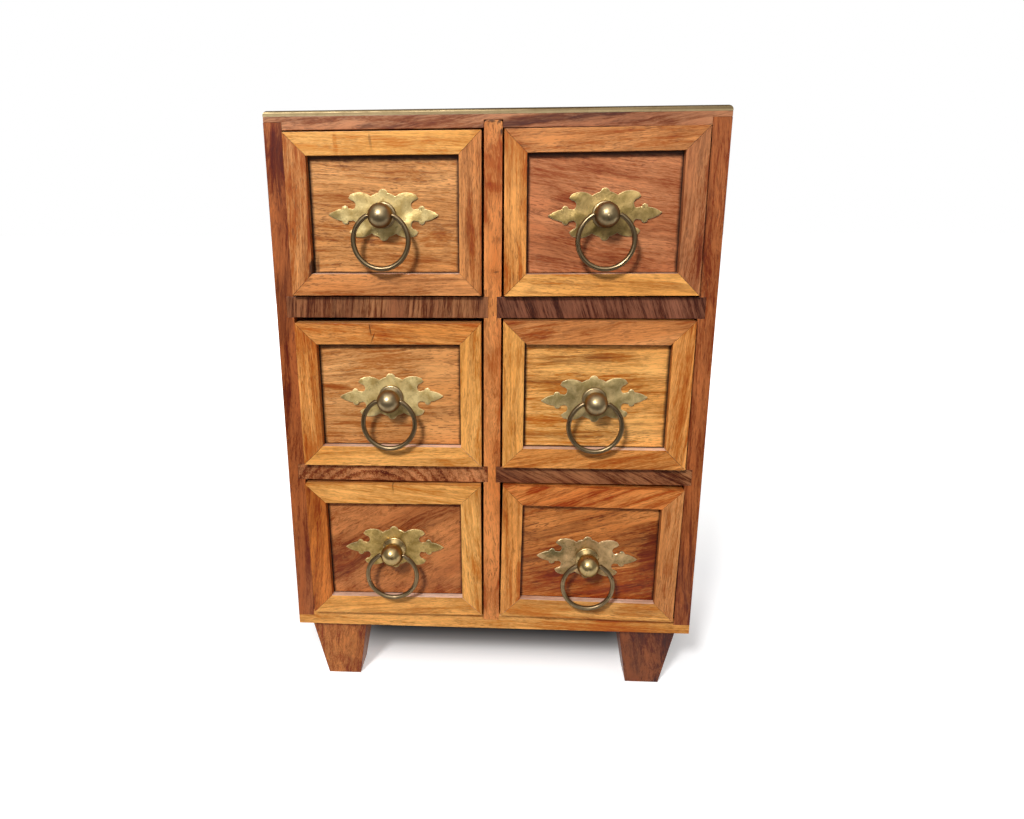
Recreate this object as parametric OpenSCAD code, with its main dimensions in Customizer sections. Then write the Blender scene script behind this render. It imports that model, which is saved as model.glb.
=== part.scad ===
// Table chest of six small drawers, with mitred drawer fronts and brass ring pulls.
// Millimetres. The front faces -Y and up is +Z. The origin is on the table, under the
// middle of the whole chest, pulls included.

/* [Carcass] */
// Width of the chest over its sides
body_w = 250; // [220:1:360]
// Depth of the chest from its front edges to its back
body_d = 175; // [120:1:300]
// Clear height of each drawer opening
opening_h = 90; // [75:1:140]
// Thickness of the side boards
side_t = 10; // [8:0.5:14]
// Thickness of the top board
top_t = 10; // [8:0.5:16]
// Thickness of the bottom board
bottom_t = 10; // [8:0.5:16]
// Thickness of the upright board between the two columns
divider_t = 10; // [8:0.5:16]
// Thickness of the shelves under the top row
upper_shelf_t = 12; // [6:0.5:18]
// Thickness of the shelves under the middle row
lower_shelf_t = 10; // [6:0.5:18]
// Depth to which the uprights are let into the top and bottom boards
housing_depth = 4; // [2:0.5:5]
// Radius of the rounded upper corners of the divider
divider_corner_r = 2.2; // [1:0.1:3]
// Depth to which the shelves are let into the side boards
side_dado = 4; // [1:0.5:5]
// Depth to which the shelves are let into the divider
divider_dado = 2.5; // [1:0.5:3.5]

/* [Back panel] */
// Thickness of the back panel
back_t = 5; // [3:0.5:8]
// Width of the rebate that the back panel sits in
back_rebate = 5; // [4:0.5:6]
// Screws up each side of the back panel
back_screw_rows = 3; // [2:1:5]
// Distance from the panel's ends to its first and last screws
back_screw_inset = 30; // [10:1:60]

/* [Brass strip] */
// Height of the brass strip along the top front edge
strip_h = 3; // [2:0.1:4]
// Width of the strip from front to back
strip_d = 10; // [6:0.5:16]
// Radius of the rounding at the two ends of the strip
strip_end_r = 2.6; // [1:0.1:2.8]
// Radius of the rounding along the strip's front edge
strip_nose_r = 1.6; // [0.5:0.1:1.9]

/* [Feet] */
// Height of the feet
foot_h = 44; // [30:1:80]
// Width of a foot where it meets the bottom board
foot_top = 36; // [26:1:50]
// Width of a foot where it stands on the table
foot_base = 21.5; // [14:0.5:26]
// Distance from the chest's side to the top of a foot
foot_inset = 7.5; // [2:0.5:20]
// Distance from the chest's front and back to the top of a foot
foot_setback = 4; // [2:0.5:20]

/* [Drawer fronts] */
// Gap round each drawer front
front_gap = 1.2; // [0.8:0.1:2.5]
// Thickness of the front board
front_t = 9; // [7:0.5:14]
// Distance of the front board's face behind the carcass's front edges
panel_setback = 0.5; // [0:0.1:3]
// Width of the mitred moulding
mould_w = 12.2; // [8:0.1:16]
// Thickness of the moulding
mould_t = 5; // [3:0.1:8]
// Amount planed off the top of each front to fit it, left and right, from the top row down
top_trim = [[0, -0.7], [1.4, -0.4], [0, 0]];
// Degrees that each front stands askew in its opening, its right end up, in the same order
front_turn = [[0, 0.3], [0.2, 0], [0.5, -0.7]];
// Where each pull sits beside and above its front's middle, left and right, from the top row down
pull_offset = [
    [[-0.7, 0.2], [0.9, -0.3]],
    [[0.4, -1], [-0.7, -2.2]],
    [[-0.7, 0.8], [-1.2, -3.4]]
];
// Degrees that each plate is turned, its right tip up, in the same order
plate_turn = [[-0.5, 1.5], [1, 2.4], [0.7, -1.4]];

/* [Drawer boxes] */
// Thickness of the drawer's sides and back
tray_wall = 7; // [5:0.5:10]
// Height of the drawer's sides
tray_h = 76; // [50:1:85]
// Gap on each side between the drawer's sides and the carcass
tray_gap = 1.5; // [0.5:0.1:3]
// Gap under the drawer's sides, where they run on the board below
runner_gap = 0.3; // [0.3:0.1:1]
// Free space behind a closed drawer
rear_gap = 5; // [2:0.5:20]
// Thickness of the drawer's bottom panel
tray_bottom_t = 3; // [2:0.5:5]
// Height of the bottom panel above the lower edge of the sides
tray_bottom_up = 4; // [2:0.5:8]
// Depth of the grooves that hold the bottom panel
groove_depth = 3; // [2:0.5:4]

/* [Escutcheon] */
// Length of the fretted plate from tip to tip
plate_w = 61.6; // [50:0.1:70]
// Thickness of the plate
plate_t = 1.2; // [0.8:0.1:2]
// Radius of the escutcheon pins
pin_r = 0.5; // [0.4:0.05:0.7]
// Radius of the heads of the escutcheon pins
pin_head_r = 0.9; // [0.8:0.1:1.2]
// Height of the heads of the escutcheon pins
pin_head_h = 0.4; // [0.3:0.1:0.8]
// Length of the escutcheon pins in the wood
pin_len = 5; // [3:0.5:6]

/* [Knob] */
// Radius of the ball
ball_r = 6.35; // [5:0.05:7.5]
// Distance from the plate to the middle of the ball
ball_standoff = 11.5; // [11:0.1:16]
// Radius of the flange that sits on the plate
flange_r = 7.3; // [5:0.05:8]
// Thickness of the flange
flange_t = 2.2; // [1.5:0.1:3]
// Radius of the neck behind the ball
neck_r = 4.1; // [3:0.1:4.6]
// Height of the tapered part between the flange and the neck
taper_h = 2; // [1:0.1:4]
// Radius of the bead round the neck
bead_r = 5.2; // [4.8:0.1:5.8]
// Half the width of the bead
bead_half_w = 0.8; // [0.5:0.1:1.2]
// Distance from the bead's middle to the middle of the ball
bead_back = 6.2; // [5.5:0.1:7]
// Radius of the threaded stud
stud_r = 2; // [1.5:0.1:2.5]
// Length of stud that shows past the nut
stud_tail = 1.5; // [0.5:0.5:4]

/* [Ring] */
// Radius of the ring to the middle of its wire
ring_r = 15.1; // [12:0.1:17]
// Radius of the ring's wire
wire_r = 1.35; // [1:0.05:1.5]
// Distance from the ball's middle to each end of the wire, along the pivot
pivot_x = 7.15; // [6.8:0.05:9]
// Distance of the pivot under the middle of the ball
pivot_drop = 0; // [0:0.1:1.5]
// Radius of the reduced ends that turn in the ball
pivot_r = 0.8; // [0.6:0.05:1]
// Length of each reduced end inside the ball
pivot_len = 3.4; // [2:0.1:4]
// Radial clearance of the reduced ends in their hole
pivot_clear = 0.05; // [0.02:0.01:0.1]

/* [Fasteners] */
// Radius of the washer behind a drawer front
washer_r = 5; // [4:0.1:6]
// Thickness of the washer
washer_t = 0.8; // [0.5:0.1:1.5]
// Radius of the nut to its corners
nut_r = 4; // [3.3:0.05:4.5]
// Thickness of the nut
nut_t = 3; // [2:0.1:4]
// Radius of the foot screws
foot_screw_r = 1.75; // [1.5:0.05:2.5]
// Length of the foot screws
foot_screw_len = 30; // [20:1:40]
// Radius of the back panel's screws
back_screw_r = 1; // [0.8:0.05:1.2]
// Length of the back panel's screws
back_screw_len = 16; // [10:1:20]
// Radial clearance of screws, studs and pins in their holes
hole_clear = 0.05; // [0.02:0.01:0.1]
// Width of the glue line between the pieces of a drawer box and of a moulding
glue_line = 0.12; // [0.05:0.01:0.3]

/* [Hidden] */
$fn = 64;
ROWS = ["top", "middle", "bottom"];
COLUMNS = ["left", "right"];
DRAWER_PIECES = ["front", "moulding", "tray", "base", "plate", "knob", "ring", "fixings"];
CARCASS = ["left_side", "right_side", "top_board", "bottom_board", "back_panel", "centre_divider",
    "upper_shelves", "lower_shelves", "brass_strip", "feet", "foot_screws", "back_screws"];

// Past is how far a cutter reaches beyond the face that it cuts
past = 1;

// Widths and heights in the carcass
inner_x = body_w / 2 - side_t;
opening_w = inner_x - divider_t / 2;
column_x = (inner_x + divider_t / 2) / 2;
bottom_floor = foot_h + bottom_t;
middle_floor = bottom_floor + opening_h + lower_shelf_t;
top_floor = middle_floor + opening_h + upper_shelf_t;
row_floor = [top_floor, middle_floor, bottom_floor];
ceiling_z = top_floor + opening_h;
top_z = ceiling_z + top_t;
upright_low = bottom_floor - housing_depth;
upright_high = ceiling_z + housing_depth;
inner_d = body_d - back_t;

// The pulls stand in front of the carcass, so the whole chest is centred by this much
pull_reach = ball_standoff + ball_r + plate_t - panel_setback;
front_y = (pull_reach - body_d) / 2;

// Feet
foot_x = body_w / 2 - foot_inset - foot_top / 2;
foot_ys = [foot_setback + foot_top / 2, body_d - foot_setback - foot_top / 2];

// Back panel and its screws
back_half_w = inner_x + back_rebate;
back_low = bottom_floor - back_rebate;
back_high = ceiling_z + back_rebate;
back_screw_x = inner_x + back_rebate / 2;
back_screw_step = (back_high - back_low - 2 * back_screw_inset) / (back_screw_rows - 1);

// Drawers, measured from the middle of the opening's floor line, with the carcass front at 0
front_w = opening_w - 2 * front_gap;
panel_back = panel_setback + front_t;
tray_w = opening_w - 2 * tray_gap;
tray_inner = tray_w - 2 * tray_wall;
tray_end = inner_d - rear_gap;
tray_base_z = runner_gap + tray_bottom_up;
plate_face = panel_setback - plate_t;
pivot_y = plate_face - ball_standoff;
ring_drop = sqrt(ring_r * ring_r - pivot_x * pivot_x);
ring_start = 90 + asin(pivot_x / ring_r);
ring_sweep = 360 - 2 * asin(pivot_x / ring_r);
stud_len = plate_t + front_t + washer_t + nut_t + stud_tail;

function front_h(r, c) = opening_h - 2 * front_gap - top_trim[r][c];
function pull_x(r, c) = pull_offset[r][c][0];
function pull_z(r, c) = front_gap + front_h(r, c) / 2 + pull_offset[r][c][1];

// The escutcheon's outline is drawn 61.6 from tip to tip
plate_scale = plate_w / 61.6;
pin_x = 0.336 * plate_w;
pin_z = 0.06 * plate_w;

// Box from one corner to the opposite one
module block(low, high) {
    translate(low) cube(high - low);
}

// Countersunk screw, head upwards at the origin
module countersunk(shank_r, length, head_ratio = 2) {
    translate([0, 0, -length]) cylinder(r = shank_r, h = length);
    translate([0, 0, -shank_r * (head_ratio - 1)])
        cylinder(r1 = shank_r, r2 = shank_r * head_ratio, h = shank_r * (head_ratio - 1));
}

// Space that the back panel takes out of the boards around it
module back_space() {
    block([-back_half_w, inner_d, back_low], [back_half_w, body_d + past, back_high]);
}

// The two shelves under one row, let into the divider and the side boards
module shelf_pair(row, thickness) {
    z = row_floor[row];
    for (s = [0, 1]) mirror([s, 0, 0])
        block([divider_t / 2 - divider_dado, 0, z - thickness], [inner_x + side_dado, inner_d, z]);
}

module all_shelves() {
    shelf_pair(0, upper_shelf_t);
    shelf_pair(1, lower_shelf_t);
}

module back_screw_places() {
    for (s = [-1, 1]) for (i = [0 : back_screw_rows - 1])
        translate([s * back_screw_x, body_d, back_low + back_screw_inset + i * back_screw_step])
            rotate([-90, 0, 0]) children();
}

module foot_places() {
    for (s = [-1, 1]) for (y = foot_ys) translate([s * foot_x, y, 0]) children();
}

module foot_screw_places() {
    foot_places() translate([0, 0, bottom_floor]) children();
}

module side_board(s) {
    difference() {
        translate([s < 0 ? -body_w / 2 : inner_x, 0, upright_low])
            cube([side_t, body_d, upright_high - upright_low]);
        all_shelves();
        back_space();
        back_screw_places() countersunk(back_screw_r + hole_clear, back_screw_len);
    }
}

module left_side() {
    color("sienna") side_board(-1);
}

module right_side() {
    color("sienna") side_board(1);
}

// Upper corners of the divider are rounded, as seen from the front
module centre_divider() {
    half = divider_t / 2;
    color("peru") difference() {
        translate([0, inner_d, 0]) rotate([90, 0, 0]) linear_extrude(inner_d) union() {
            translate([-half, upright_low])
                square([divider_t, upright_high - divider_corner_r - upright_low]);
            translate([divider_corner_r - half, upright_high - 2 * divider_corner_r])
                square([divider_t - 2 * divider_corner_r, 2 * divider_corner_r]);
            for (s = [-1, 1])
                translate([s * (half - divider_corner_r), upright_high - divider_corner_r])
                    circle(r = divider_corner_r);
        }
        all_shelves();
    }
}

// Space that the uprights take out of the top and bottom boards
module upright_space() {
    for (s = [-1, 1])
        translate([s < 0 ? -body_w / 2 - past : inner_x, -past, upright_low])
            cube([side_t + past, body_d + 2 * past, upright_high - upright_low]);
    block([-divider_t / 2, -past, upright_low], [divider_t / 2, inner_d, upright_high]);
}

module top_board() {
    color("saddlebrown") difference() {
        block([-body_w / 2, 0, ceiling_z], [body_w / 2, body_d, top_z]);
        block([-body_w / 2 - past, -past, top_z - strip_h], [body_w / 2 + past, strip_d, top_z + past]);
        upright_space();
        back_space();
    }
}

module bottom_board() {
    color("goldenrod") difference() {
        block([-body_w / 2, 0, foot_h], [body_w / 2, body_d, bottom_floor]);
        upright_space();
        back_space();
        foot_screw_places() countersunk(foot_screw_r + hole_clear, foot_screw_len);
    }
}

module upper_shelves() {
    color("saddlebrown") shelf_pair(0, upper_shelf_t);
}

module lower_shelves() {
    color("saddlebrown") shelf_pair(1, lower_shelf_t);
}

module back_panel() {
    color("tan") difference() {
        block([-back_half_w, inner_d, back_low], [back_half_w, body_d, back_high]);
        back_screw_places() countersunk(back_screw_r + hole_clear, back_screw_len);
    }
}

// Rectangle on the origin's right and above it, with its upper right corner rounded
module nosed(length, height, r) {
    intersection() {
        square([length, height]);
        union() {
            square([length - r, height]);
            square([length, height - r]);
            translate([length - r, height - r]) circle(r = r);
        }
    }
}

// The strip's front edge is a nose, and its ends are rounded off as seen from the front
module brass_strip() {
    color("gold") translate([0, 0, top_z - strip_h]) intersection() {
        translate([-body_w / 2, strip_d, 0]) rotate([90, 0, -90]) mirror([0, 0, 1])
            linear_extrude(body_w) nosed(strip_d, strip_h, strip_nose_r);
        translate([0, strip_d + past, 0]) rotate([90, 0, 0]) linear_extrude(strip_d + 2 * past)
            for (s = [0, 1]) mirror([s, 0]) nosed(body_w / 2, strip_h, strip_end_r);
    }
}

// Square foot that tapers evenly on all four sides
module taper() {
    linear_extrude(foot_top, center = true) polygon([
        [-foot_base / 2, 0], [foot_base / 2, 0], [foot_top / 2, foot_h], [-foot_top / 2, foot_h]
    ]);
}

module feet() {
    color("chocolate") difference() {
        foot_places() intersection() {
            rotate([90, 0, 0]) taper();
            rotate([90, 0, 90]) taper();
        }
        foot_screw_places() countersunk(foot_screw_r + hole_clear, foot_screw_len);
    }
}

module foot_screws() {
    color("silver") foot_screw_places() countersunk(foot_screw_r, foot_screw_len - hole_clear);
}

module back_screws() {
    color("silver") back_screw_places() countersunk(back_screw_r, back_screw_len - hole_clear);
}

// Puts a drawer's piece into its own opening
module in_opening(r, c) {
    translate([(c == 0 ? -1 : 1) * column_x, 0, row_floor[r]]) children();
}

// Puts a piece of a drawer's front at the front's middle, as askew as the front stands
module in_front(r, c) {
    in_opening(r, c) translate([0, 0, front_gap + front_h(r, c) / 2])
        rotate([0, -front_turn[r][c], 0]) children();
}

// Puts a pull's piece at the middle of its plate, with the plate's face at y = 0
module at_pull(r, c) {
    in_opening(r, c) translate([pull_x(r, c), plate_face, pull_z(r, c)]) children();
}

module at_plate(r, c) {
    at_pull(r, c) rotate([0, -plate_turn[r][c], 0]) children();
}

// Panel that slides into the grooves of the drawer's front and sides; slack shrinks it
module tray_base_panel(slack) {
    half = tray_inner / 2 + groove_depth - slack;
    block([-half, panel_back - groove_depth + slack, tray_base_z + slack],
        [half, tray_end, tray_base_z + tray_bottom_t - slack]);
}

module front_board(r, c) {
    h = front_h(r, c);
    color("peru") difference() {
        in_front(r, c) block([-front_w / 2, panel_setback, -h / 2], [front_w / 2, panel_back, h / 2]);
        in_opening(r, c) tray_base_panel(0);
        at_pull(r, c) rotate([-90, 0, 0]) translate([0, 0, -past])
            cylinder(r = stud_r + hole_clear, h = stud_len + 2 * past);
        at_plate(r, c) pin_holes();
    }
}

// One strip of a moulding along X, its outer edge at z = 0, with mitred ends. It may be
// turned about Y, which keeps its face at the front.
module mould_strip(length) {
    half = length / 2 - glue_line;
    translate([0, panel_setback, 0]) rotate([90, 0, 0]) linear_extrude(mould_t) polygon([
        [-half, 0], [half, 0], [half - mould_w, mould_w], [-half + mould_w, mould_w]
    ]);
}

module moulding(r, c) {
    h = front_h(r, c);
    color("goldenrod") in_front(r, c) {
        for (turn = [0, 180]) rotate([0, turn, 0]) translate([0, 0, -h / 2]) mould_strip(front_w);
        for (turn = [90, 270]) rotate([0, turn, 0]) translate([0, 0, -front_w / 2]) mould_strip(h);
    }
}

module tray(r, c) {
    color("burlywood") in_opening(r, c) difference() {
        union() {
            for (s = [0, 1]) mirror([s, 0, 0])
                block([tray_inner / 2, panel_back, runner_gap],
                    [tray_w / 2, tray_end, runner_gap + tray_h]);
            block([-tray_inner / 2 + glue_line, tray_end - tray_wall, tray_base_z + tray_bottom_t],
                [tray_inner / 2 - glue_line, tray_end, runner_gap + tray_h]);
        }
        tray_base_panel(0);
    }
}

module tray_base(r, c) {
    color("wheat") in_opening(r, c) tray_base_panel(hole_clear);
}

// Right upper quarter of the escutcheon's outline
module plate_quarter() {
    // Waist, middle and crown
    square([19.5, 3]);
    intersection() {
        circle(r = 12.1);
        square([12, 11.9]);
    }
    translate([0, 11.3]) intersection() {
        circle(r = 2.6);
        translate([0, -4]) square([4, 8]);
    }
    // Ear: a flat arch that ends in a point above a round notch
    difference() {
        intersection() {
            translate([13.2, 1.9]) circle(r = 10.2);
            polygon([[6, 2], [6, 13], [18.2, 13], [18.2, 10.8], [19.3, 9.1], [17, 7.2], [17.9, 2]]);
        }
        translate([17.9, 5.3]) circle(r = 2.5);
    }
    // Bump beside the tip, and the pointed tip
    translate([21.4, 3.3]) circle(r = 1.7);
    intersection() {
        translate([20.8, -12.9]) circle(r = 16.32);
        translate([15, 0]) square([20, 4]);
    }
}

module plate_outline() {
    scale(plate_scale) for (x = [0, 1]) for (y = [0, 1])
        mirror([x, 0]) mirror([0, y]) plate_quarter();
}

module pin_positions() {
    for (s = [-1, 1]) translate([s * pin_x, 0, s * pin_z]) rotate([-90, 0, 0]) children();
}

module pin_holes() {
    pin_positions() translate([0, 0, -past])
        cylinder(r = pin_r + hole_clear, h = plate_t + pin_len + past + hole_clear);
}

module plate(r, c) {
    color("khaki") at_plate(r, c) difference() {
        translate([0, plate_t, 0]) rotate([90, 0, 0]) linear_extrude(plate_t) plate_outline();
        rotate([-90, 0, 0]) translate([0, 0, -past])
            cylinder(r = stud_r + hole_clear, h = plate_t + 2 * past);
        pin_holes();
    }
}

// Half section of the knob: radius across, distance from the plate up.
// Its threaded stud reaches down through the plate and the front board.
module knob_section() {
    edge_r = flange_t / 2;
    translate([0, -stud_len]) square([stud_r, stud_len + edge_r]);
    square([flange_r - edge_r, flange_t]);
    translate([flange_r - edge_r, edge_r]) circle(r = edge_r);
    polygon([
        [0, edge_r], [flange_r - edge_r, edge_r], [flange_r - edge_r, flange_t],
        [neck_r, flange_t + taper_h], [0, flange_t + taper_h]
    ]);
    square([neck_r, ball_standoff - ball_r / 2]);
    translate([0, ball_standoff - bead_back - bead_half_w]) square([bead_r - bead_half_w, 2 * bead_half_w]);
    translate([bead_r - bead_half_w, ball_standoff - bead_back]) circle(r = bead_half_w);
    translate([0, ball_standoff]) intersection() {
        circle(r = ball_r);
        translate([0, -ball_r]) square([ball_r, 2 * ball_r]);
    }
}

module knob(r, c) {
    color("darkkhaki") at_pull(r, c) difference() {
        rotate([90, 90, 0]) rotate_extrude() knob_section();
        translate([0, -ball_standoff, -pivot_drop]) rotate([0, 90, 0])
            cylinder(r = pivot_r + pivot_clear, h = 2 * pivot_x, center = true);
    }
}

// Open ring whose reduced ends turn in the ball; it hangs from its pivot
module ring(r, c) {
    root = 0.4 * wire_r;
    color("olive") at_pull(r, c) translate([0, -ball_standoff, -pivot_drop]) {
        translate([0, 0, -ring_drop]) rotate([90, 0, 0]) rotate([0, 0, ring_start])
            rotate_extrude(angle = ring_sweep) translate([ring_r, 0]) circle(r = wire_r);
        for (s = [-1, 1]) translate([s * (pivot_x + root - pivot_len / 2), 0, 0]) rotate([0, 90, 0])
            cylinder(r = pivot_r, h = pivot_len, center = true);
    }
}

// Washer and nut behind the front, and the two pins of the plate
module fixings(r, c) {
    behind = plate_t + front_t;
    color("gold") {
        at_pull(r, c) rotate([-90, 0, 0]) difference() {
            union() {
                translate([0, 0, behind]) cylinder(r = washer_r, h = washer_t);
                translate([0, 0, behind + washer_t]) cylinder(r = nut_r, h = nut_t, $fn = 6);
            }
            cylinder(r = stud_r + hole_clear, h = stud_len + past);
        }
        at_plate(r, c) pin_positions() {
            cylinder(r = pin_r, h = plate_t + pin_len);
            translate([0, 0, -pin_head_h]) cylinder(r = pin_head_r, h = pin_head_h);
        }
    }
}

module drawer_piece(piece, r, c) {
    if (piece == "front") front_board(r, c);
    if (piece == "moulding") moulding(r, c);
    if (piece == "tray") tray(r, c);
    if (piece == "base") tray_base(r, c);
    if (piece == "plate") plate(r, c);
    if (piece == "knob") knob(r, c);
    if (piece == "ring") ring(r, c);
    if (piece == "fixings") fixings(r, c);
}

translate([0, front_y, 0]) {
    left_side();
    right_side();
    top_board();
    bottom_board();
    back_panel();
    centre_divider();
    upper_shelves();
    lower_shelves();
    brass_strip();
    feet();
    foot_screws();
    back_screws();
    for (r = [0 : 2]) for (c = [0 : 1]) for (piece = DRAWER_PIECES)
        drawer_piece(piece, r, c);
}
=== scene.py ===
import math
import random

import bmesh
import bpy
from mathutils import Euler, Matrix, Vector


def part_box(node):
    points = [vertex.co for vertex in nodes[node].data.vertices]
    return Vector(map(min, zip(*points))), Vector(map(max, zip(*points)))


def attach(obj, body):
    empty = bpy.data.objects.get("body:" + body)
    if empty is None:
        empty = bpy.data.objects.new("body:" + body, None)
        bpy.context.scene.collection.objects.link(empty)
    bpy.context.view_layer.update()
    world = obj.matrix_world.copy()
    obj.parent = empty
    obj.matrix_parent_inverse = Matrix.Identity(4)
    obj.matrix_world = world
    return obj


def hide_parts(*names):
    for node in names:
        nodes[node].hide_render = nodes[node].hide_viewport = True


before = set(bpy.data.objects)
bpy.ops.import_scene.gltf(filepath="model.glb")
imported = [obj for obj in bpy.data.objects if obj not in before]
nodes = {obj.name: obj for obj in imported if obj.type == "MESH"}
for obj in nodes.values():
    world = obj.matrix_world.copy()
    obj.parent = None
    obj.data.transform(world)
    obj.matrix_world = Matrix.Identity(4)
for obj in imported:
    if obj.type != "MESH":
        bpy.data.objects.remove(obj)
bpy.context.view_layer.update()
mm = 0.001
columns = ["left", "right"]
print("frame loaded:", len(nodes), "nodes")


photoView = {
    "place": (0.0115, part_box("left_side")[0].y - 0.4322, 0.3105),  # metres, in front of the boards' edges
    "turn": (74.0, 0.36, 3.65),  # degrees about x, y and z
    "sensor": 36,
    "lens": 26.72,
    "shiftX": 0.0472,
    "shiftY": 0.0054,
    "nearest": 0.01,
    "farthest": 50,
}


def addCamera(view):
    camera = bpy.data.objects.new("camera", bpy.data.cameras.new("camera"))
    camera.location = view["place"]
    camera.rotation_euler = [math.radians(angle) for angle in view["turn"]]
    camera.data.sensor_width = view["sensor"]
    camera.data.lens = view["lens"]
    camera.data.shift_x = view["shiftX"]
    camera.data.shift_y = view["shiftY"]
    camera.data.clip_start = view["nearest"]
    camera.data.clip_end = view["farthest"]
    bpy.context.scene.collection.objects.link(camera)
    bpy.context.scene.camera = camera


addCamera(photoView)


def colour(code):
    # A hex colour as the linear values that the shader sockets take
    parts = [int(code[i:i + 2], 16) / 255 for i in (0, 2, 4)]
    return [p / 12.92 if p <= 0.04045 else ((p + 0.055) / 1.055) ** 2.4 for p in parts] + [1]


def addNode(tree, kind, inputs=None, **settings):
    node = tree.nodes.new("ShaderNode" + kind)
    for name, value in settings.items():
        setattr(node, name, value)
    for name, value in (inputs or {}).items():
        if isinstance(value, bpy.types.NodeSocket):
            tree.links.new(value, node.inputs[name])
        else:
            node.inputs[name].default_value = value
    return node


def calc(tree, operation, *values):
    return addNode(tree, "Math", dict(enumerate(values)), operation=operation).outputs[0]


def spread(tree, value, low, high, outLow=0.0, outHigh=1.0):
    # Stretches value from low..high to outLow..outHigh, and clamps it there
    node = addNode(tree, "MapRange", {"Value": value, "From Min": low, "From Max": high,
                                      "To Min": outLow, "To Max": outHigh})
    return node.outputs["Result"]


def blendColour(tree, share, a, b):
    node = addNode(tree, "Mix", data_type="RGBA")
    for socket, value in ((0, share), (6, a), (7, b)):
        if isinstance(value, bpy.types.NodeSocket):
            tree.links.new(value, node.inputs[socket])
        else:
            node.inputs[socket].default_value = value
    return node.outputs[2]


def stretchedNoise(tree, place, scale, detail, roughness=0.5, distortion=0.0):
    # Noise with its own scale along each axis, so that it can lie in streaks
    scaled = addNode(tree, "VectorMath", {0: place, 1: scale}, operation="MULTIPLY").outputs[0]
    return addNode(tree, "TexNoise", {"Vector": scaled, "Scale": 1.0, "Detail": detail,
                                      "Roughness": roughness, "Distortion": distortion})


def spanNoise(tree, place, values):
    # values is a noise's scale, detail, roughness, distortion and span: from, to, and what they become
    noise = stretchedNoise(tree, place, *values[:4]).outputs["Fac"]
    return spread(tree, noise, *values[4])


def newMaterial(name):
    material = bpy.data.materials.new(name)
    material.use_nodes = True
    material.node_tree.nodes.clear()
    return material, material.node_tree


def newGroup(name, inputs, outputs):
    tree = bpy.data.node_groups.new(name, "ShaderNodeTree")
    for label, kind, value in inputs:
        socket = tree.interface.new_socket(label, in_out="INPUT", socket_type="NodeSocket" + kind)
        if value is not None:
            socket.default_value = value
    for label, kind in outputs:
        tree.interface.new_socket(label, in_out="OUTPUT", socket_type="NodeSocket" + kind)
    return tree, tree.nodes.new("NodeGroupInput").outputs, tree.nodes.new("NodeGroupOutput").inputs


edgeLooks = {
    "markNoise": ((1.3, 1.3, 2.6), 4.0, 0.6, 0.5),
    "markEdge": (1.05, 0.45),  # where a mark starts and is full, as a share of its radius
    "markRagged": 1.4,
    "recessShadeNoise": ((260, 260, 260), 4.0, 0.65, 0.0, (0.3, 0.7, 0.8, 1.25)),
    "recessShadeEdge": (1.8, 0.5),
    "recessShadeFacing": (-0.7, -0.9),  # the normal's y at which the painted recess shade starts and is full
}


def markGroup():
    # A soft patch round the origin of Place, one unit in radius, with a ragged edge
    tree, given, out = newGroup("stainMark", [("Place", "Vector", None), ("Ragged", "Float", 0.8)],
                                [("Mask", "Float")])
    noise = stretchedNoise(tree, given["Place"], *edgeLooks["markNoise"]).outputs["Fac"]
    length = addNode(tree, "VectorMath", {0: given["Place"]}, operation="LENGTH").outputs["Value"]
    lean = calc(tree, "MULTIPLY", calc(tree, "SUBTRACT", noise, 0.5), given["Ragged"])
    tree.links.new(spread(tree, calc(tree, "ADD", length, lean), *edgeLooks["markEdge"]), out["Mask"])
    return tree


stainMark = markGroup()


def addMarks(tree, marks):
    # Each mark is its x and z, its half width and half height in mm, its turn in degrees and its strength
    total = None
    for x, z, halfWidth, halfHeight, turn, strength in marks:
        place = addNode(tree, "Mapping", {
            "Vector": addNode(tree, "TexCoord").outputs["Object"], "Location": (x * mm, 0, z * mm),
            "Rotation": (0, -math.radians(turn), 0), "Scale": (halfWidth * mm, 1, halfHeight * mm)},
            vector_type="TEXTURE")
        patch = addNode(tree, "Group", node_tree=stainMark)
        patch.inputs["Ragged"].default_value = edgeLooks["markRagged"]
        tree.links.new(place.outputs[0], patch.inputs["Place"])
        share = calc(tree, "MULTIPLY", patch.outputs[0], strength)
        total = share if total is None else calc(tree, "ADD", total, share)
    return total


def recessShadeGroup():
    # Painted shade inside the edges of a rectangle in x and z, centred on the origin of Place,
    # on what faces the front, widest under the top edge
    tree, given, out = newGroup("paintedRecessShade", [
        ("Place", "Vector", None), ("Half Width", "Float", 0.05), ("Half Height", "Float", 0.03),
        ("Top", "Float", 0.0021), ("Left", "Float", 0.0012), ("Right", "Float", 0.0011),
        ("Bottom", "Float", 0.0005),
    ], [("Mask", "Float")])
    wobble = spanNoise(tree, given["Place"], edgeLooks["recessShadeNoise"])
    place = addNode(tree, "SeparateXYZ", {0: given["Place"]}).outputs
    across, up = place["X"], place["Z"]
    total = None
    for edge, reach in (("Top", calc(tree, "SUBTRACT", given["Half Height"], up)),
                        ("Bottom", calc(tree, "ADD", given["Half Height"], up)),
                        ("Right", calc(tree, "SUBTRACT", given["Half Width"], across)),
                        ("Left", calc(tree, "ADD", given["Half Width"], across))):
        share = calc(tree, "DIVIDE", reach, calc(tree, "MULTIPLY", given[edge], wobble))
        share = spread(tree, share, *edgeLooks["recessShadeEdge"])
        total = share if total is None else calc(tree, "MAXIMUM", total, share)
    facing = addNode(tree, "SeparateXYZ", {0: addNode(tree, "NewGeometry").outputs["Normal"]}).outputs["Y"]
    facing = spread(tree, facing, *edgeLooks["recessShadeFacing"])
    tree.links.new(calc(tree, "MULTIPLY", total, facing), out["Mask"])
    return tree


paintedRecessShade = recessShadeGroup()


# Painted shade along the inner edges of a drawer's recess, on its panel
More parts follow.
